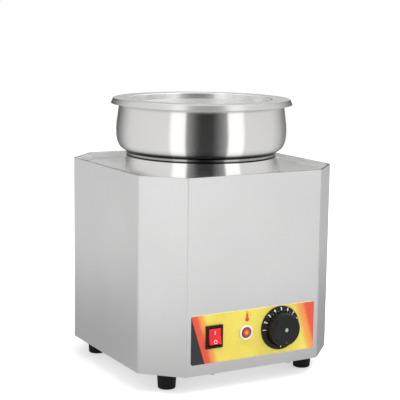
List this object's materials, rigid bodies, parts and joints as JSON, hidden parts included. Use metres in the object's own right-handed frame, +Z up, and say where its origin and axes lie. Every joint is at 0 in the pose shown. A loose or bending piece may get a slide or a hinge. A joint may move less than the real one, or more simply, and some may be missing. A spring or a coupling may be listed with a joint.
{
  "type": "soup warmer",
  "caption": "Electric soup warmer: octagonal steel housing on rubber feet, bulged bowl ring, lift-out pot over a water tank, and a rocker switch, lamp and thermostat knob on its label plate.",
  "frame": {"origin": "on the floor, under the pot's axis, which is the centre of the housing", "axes": "+Z up along the pot's axis, -Y out of the front panel, +X to the right seen from the front"},
  "size_m": [0.3, 0.337, 0.3752],
  "materials": {
    "housing_steel": "satin stainless sheet",
    "polished_steel": "polished spun stainless steel",
    "plain_steel": "plain mill finish steel sheet",
    "fastener_steel": "zinc plated steel",
    "black_rubber": "matt black rubber",
    "black_plastic": "black moulded plastic",
    "red_plastic": "bright red moulded plastic",
    "amber_lens": "ribbed amber lens",
    "white_plastic": "white moulded plastic",
    "label_print": "printed yellow label plate",
    "bulb_glass": "clear neon bulb glass",
    "brass": "plain brass",
    "ceramic": "glazed ceramic",
    "element_steel": "heat darkened steel tube",
    "insulation": "woven ceramic fibre",
    "copper": "plain copper",
    "cast_aluminium": "pressed aluminium cap",
    "grey_plastic": "moulded phenolic plastic"
  },
  "bodies": {
    "root": {"housing_wrapper": "housing_steel", "front_panel": "housing_steel", "panel_nuts": "fastener_steel", "deck_plate": "plain_steel", "bottom_plate": "plain_steel", "base_plate_screws": "fastener_steel", "rubber_feet": "black_rubber", "foot_screws": "fastener_steel", "foot_nuts": "fastener_steel", "water_tank": "plain_steel", "tank_collar": "polished_steel", "heating_element": "element_steel", "element_beads": "ceramic", "clamp_plate": "plain_steel", "clamp_nut": "fastener_steel", "insulation_pad": "insulation", "heat_shield": "plain_steel", "shield_nuts": "fastener_steel", "dry_boil_cutout": "cast_aluminium", "label_plate": "label_print", "switch_body": "black_plastic", "switch_blades": "brass", "lamp_bezel": "white_plastic", "lamp_lens": "amber_lens", "lamp_bulb": "bulb_glass", "lamp_base": "grey_plastic", "lamp_nut": "white_plastic", "thermostat_body": "grey_plastic", "thermostat_blades": "brass", "thermostat_screws": "fastener_steel", "dial_ring": "black_plastic", "thermostat_bulb": "copper", "bulb_clips": "plain_steel", "cable_gland": "black_plastic", "gland_cap_nut": "black_plastic", "gland_lock_nut": "black_plastic", "terminal_block": "grey_plastic", "terminal_screws": "brass", "earth_stud": "fastener_steel", "earth_nut": "fastener_steel"},
    "ring": {"bowl_ring": "polished_steel"},
    "pot": {"soup_pot": "polished_steel"},
    "knob": {"control_knob": "black_plastic", "thermostat_shaft": "fastener_steel"},
    "rocker": {"switch_rocker": "red_plastic"}
  },
  "joints": [
    {"name": "ring_lift", "type": "slide", "parent": "root", "child": "ring", "axis": [0, 0, 1], "range_m": [0, 0.25]},
    {"name": "pot_lift", "type": "slide", "parent": "ring", "child": "pot", "axis": [0, 0, 1], "range_m": [0, 0.25]},
    {"name": "knob_turn", "type": "hinge", "parent": "root", "child": "knob", "pos_m": [0.04074, -0.1505, 0.075], "axis": [0, 1, 0], "range_deg": [0, 250]},
    {"name": "rocker_tilt", "type": "hinge", "parent": "root", "child": "rocker", "pos_m": [-0.06197, -0.14855, 0.075], "axis": [1, 0, 0], "range_deg": [0, 16]}
  ]
}
